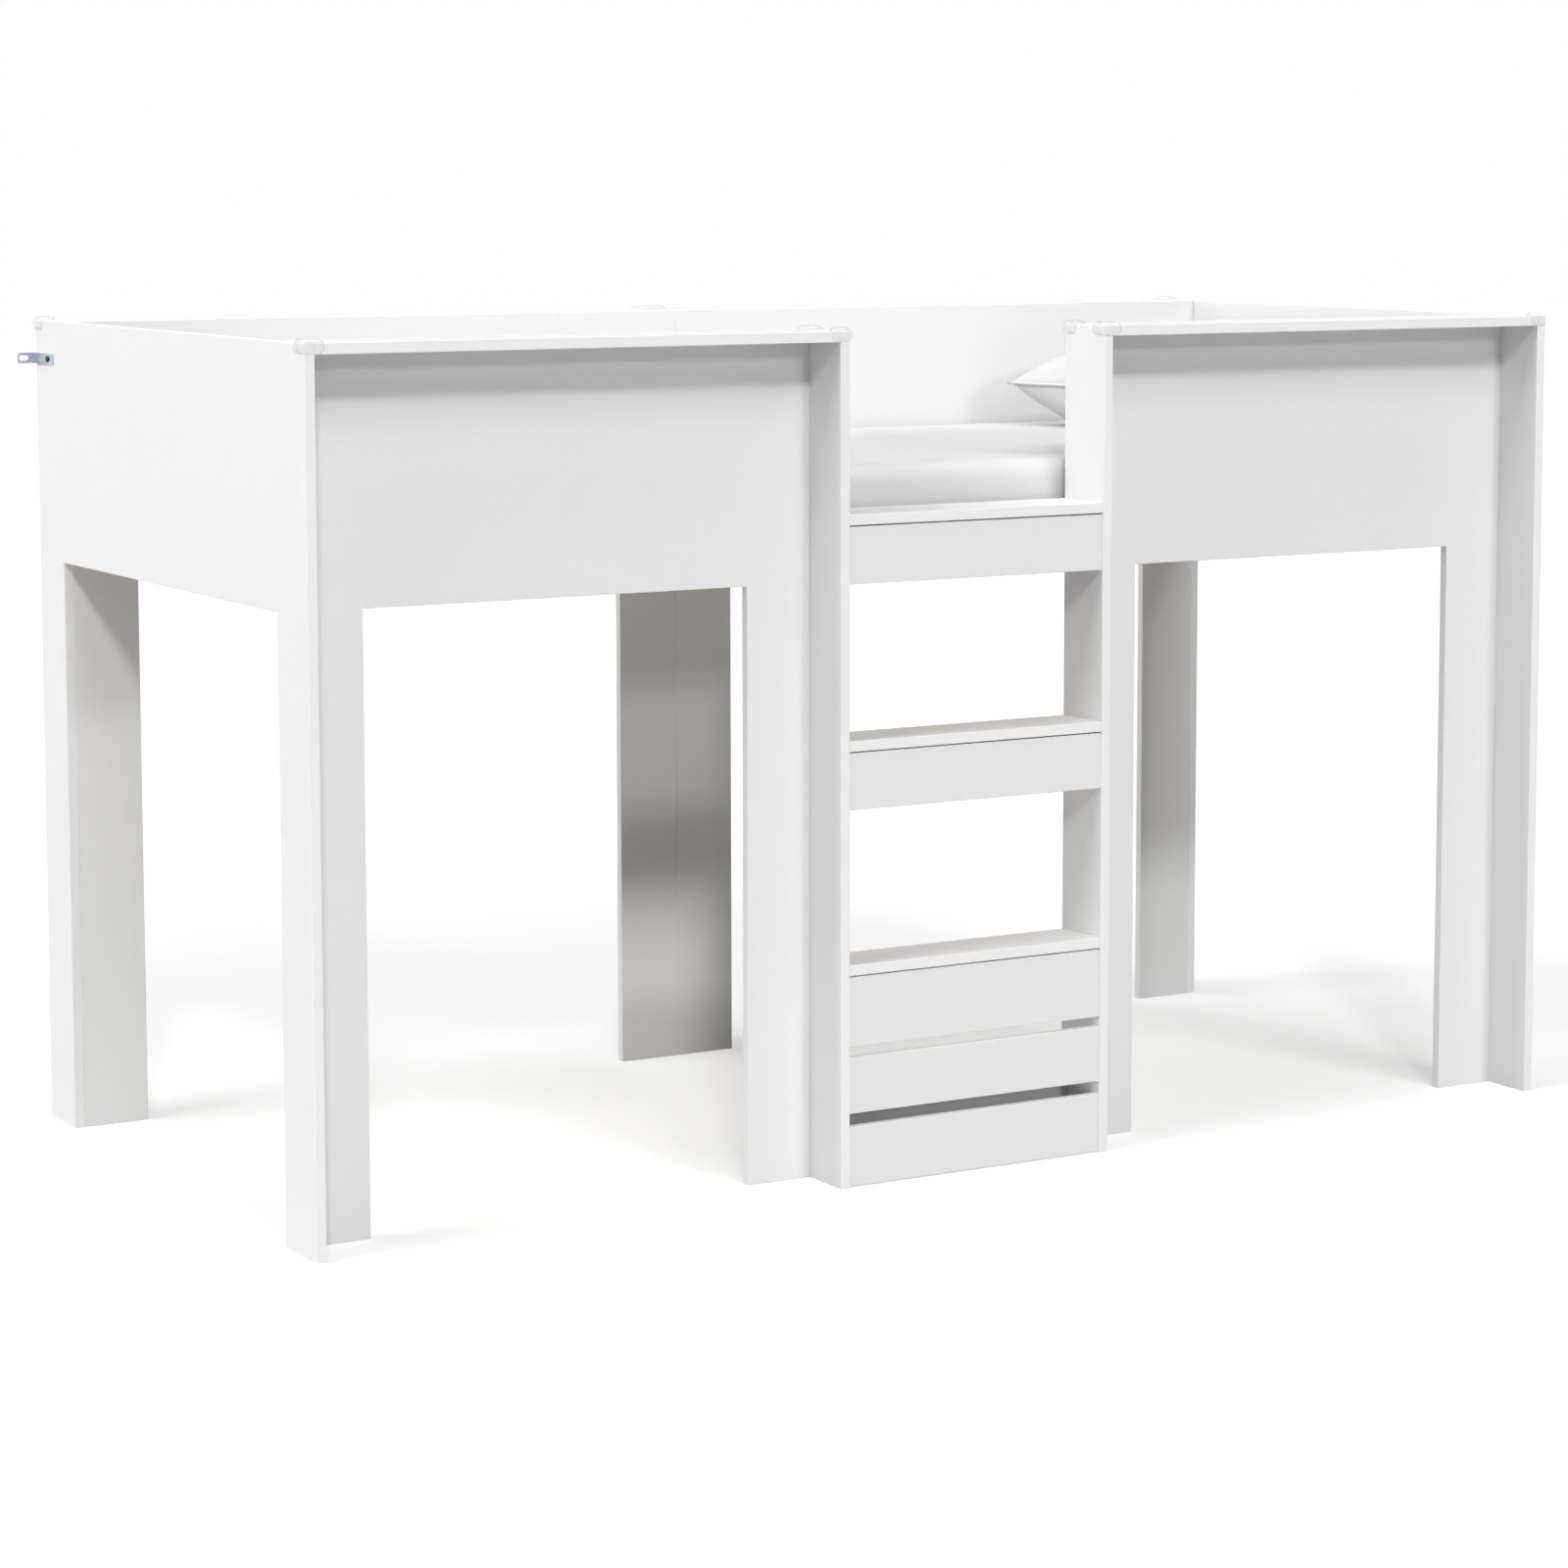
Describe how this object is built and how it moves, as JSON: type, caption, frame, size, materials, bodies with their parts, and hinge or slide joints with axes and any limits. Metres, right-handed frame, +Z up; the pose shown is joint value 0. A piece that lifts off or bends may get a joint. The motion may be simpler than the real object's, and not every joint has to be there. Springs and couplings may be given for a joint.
{
  "type": "loft bed",
  "caption": "Low children's loft bed of white boards with U-shaped leg openings, a built-in box-step ladder in the middle of the front, slatted base, mattress and pillow.",
  "frame": {"origin": "centre of the bed's footprint, on the floor", "axes": "+X along the bed towards the pillow end, -Y the ladder side, +Z up"},
  "size_m": [2.093, 1.011, 1.203],
  "materials": {
    "white_board": "satin",
    "slat_wood": "matte",
    "dowel_wood": "matte",
    "clear_guard": "gloss",
    "zinc_steel": "satin",
    "cast_zinc": "satin",
    "dark_steel": "satin",
    "mattress_cover": "matte",
    "pillow_cover": "matte"
  },
  "bodies": {
    "frame": {"back_centre_fin": "white_board", "back_cleat": "slat_wood", "back_left_cap": "white_board", "back_left_panel": "white_board", "back_right_cap": "white_board", "back_right_panel": "white_board", "cam_bolts": "zinc_steel", "cam_discs": "cast_zinc", "cleat_screws": "zinc_steel", "dowels": "dowel_wood", "entry_rail": "white_board", "fin_bracket_screws": "zinc_steel", "fin_brackets": "zinc_steel", "front_cleat": "slat_wood", "front_left_cap": "white_board", "front_left_panel": "white_board", "front_right_cap": "white_board", "front_right_panel": "white_board", "guard_back_left": "clear_guard", "guard_back_middle": "clear_guard", "guard_back_right": "clear_guard", "guard_front_left": "clear_guard", "guard_front_right": "clear_guard", "guard_ladder_back_left": "clear_guard", "guard_ladder_back_right": "clear_guard", "guard_ladder_front_left": "clear_guard", "guard_ladder_front_right": "clear_guard", "kick_board": "white_board", "kick_slat": "white_board", "ladder_back_rail": "white_board", "ladder_side_left": "white_board", "ladder_side_right": "white_board", "left_end_panel": "white_board", "right_end_panel": "white_board", "riser_bottom": "white_board", "riser_middle": "white_board", "riser_top": "white_board", "slat_01": "slat_wood", "slat_02": "slat_wood", "slat_03": "slat_wood", "slat_04": "slat_wood", "slat_05": "slat_wood", "slat_06": "slat_wood", "slat_07": "slat_wood", "slat_08": "slat_wood", "slat_09": "slat_wood", "slat_10": "slat_wood", "slat_11": "slat_wood", "slat_12": "slat_wood", "slat_13": "slat_wood", "slat_screws": "zinc_steel", "tread_bottom": "white_board", "tread_middle": "white_board", "tread_top": "white_board", "wall_bracket_left": "zinc_steel", "wall_bracket_right": "zinc_steel", "wall_bracket_screws": "dark_steel"},
    "mattress": {"mattress": "mattress_cover"},
    "pillow": {"pillow": "pillow_cover"}
  },
  "joints": [
    {"name": "mattress_lift", "type": "slide", "parent": "frame", "child": "mattress", "axis": [0, 0, 1], "range_m": [0, 0.31]},
    {"name": "pillow_lift", "type": "slide", "parent": "mattress", "child": "pillow", "axis": [0, 0, 1], "range_m": [0, 0.3]}
  ]
}
